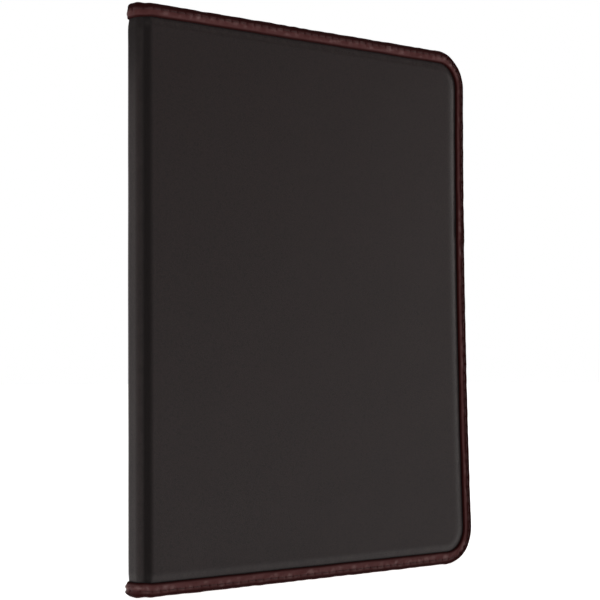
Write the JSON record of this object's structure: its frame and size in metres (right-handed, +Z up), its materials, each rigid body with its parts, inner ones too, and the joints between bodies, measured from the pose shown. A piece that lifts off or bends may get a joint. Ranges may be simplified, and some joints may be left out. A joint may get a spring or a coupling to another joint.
{
  "type": "leather document case",
  "caption": "Closed leather document case with padded covers, pressed spine hinges and a folded leather binding sewn round its edge.",
  "frame": {"origin": "on the surface it stands on, under the middle of the whole case's box", "axes": "+Z up from the lower edge to the top edge, +X from the spine to the open fore-edge, -Y out of the front cover"},
  "size_m": [0.257, 0.0202, 0.322],
  "materials": {
    "black_leather": "smooth semi-matte, fine grain",
    "burgundy_leather": "smooth satin, sewn through"
  },
  "bodies": {
    "root": {"leather_cover": "black_leather", "edge_binding": "burgundy_leather"}
  },
  "joints": []
}
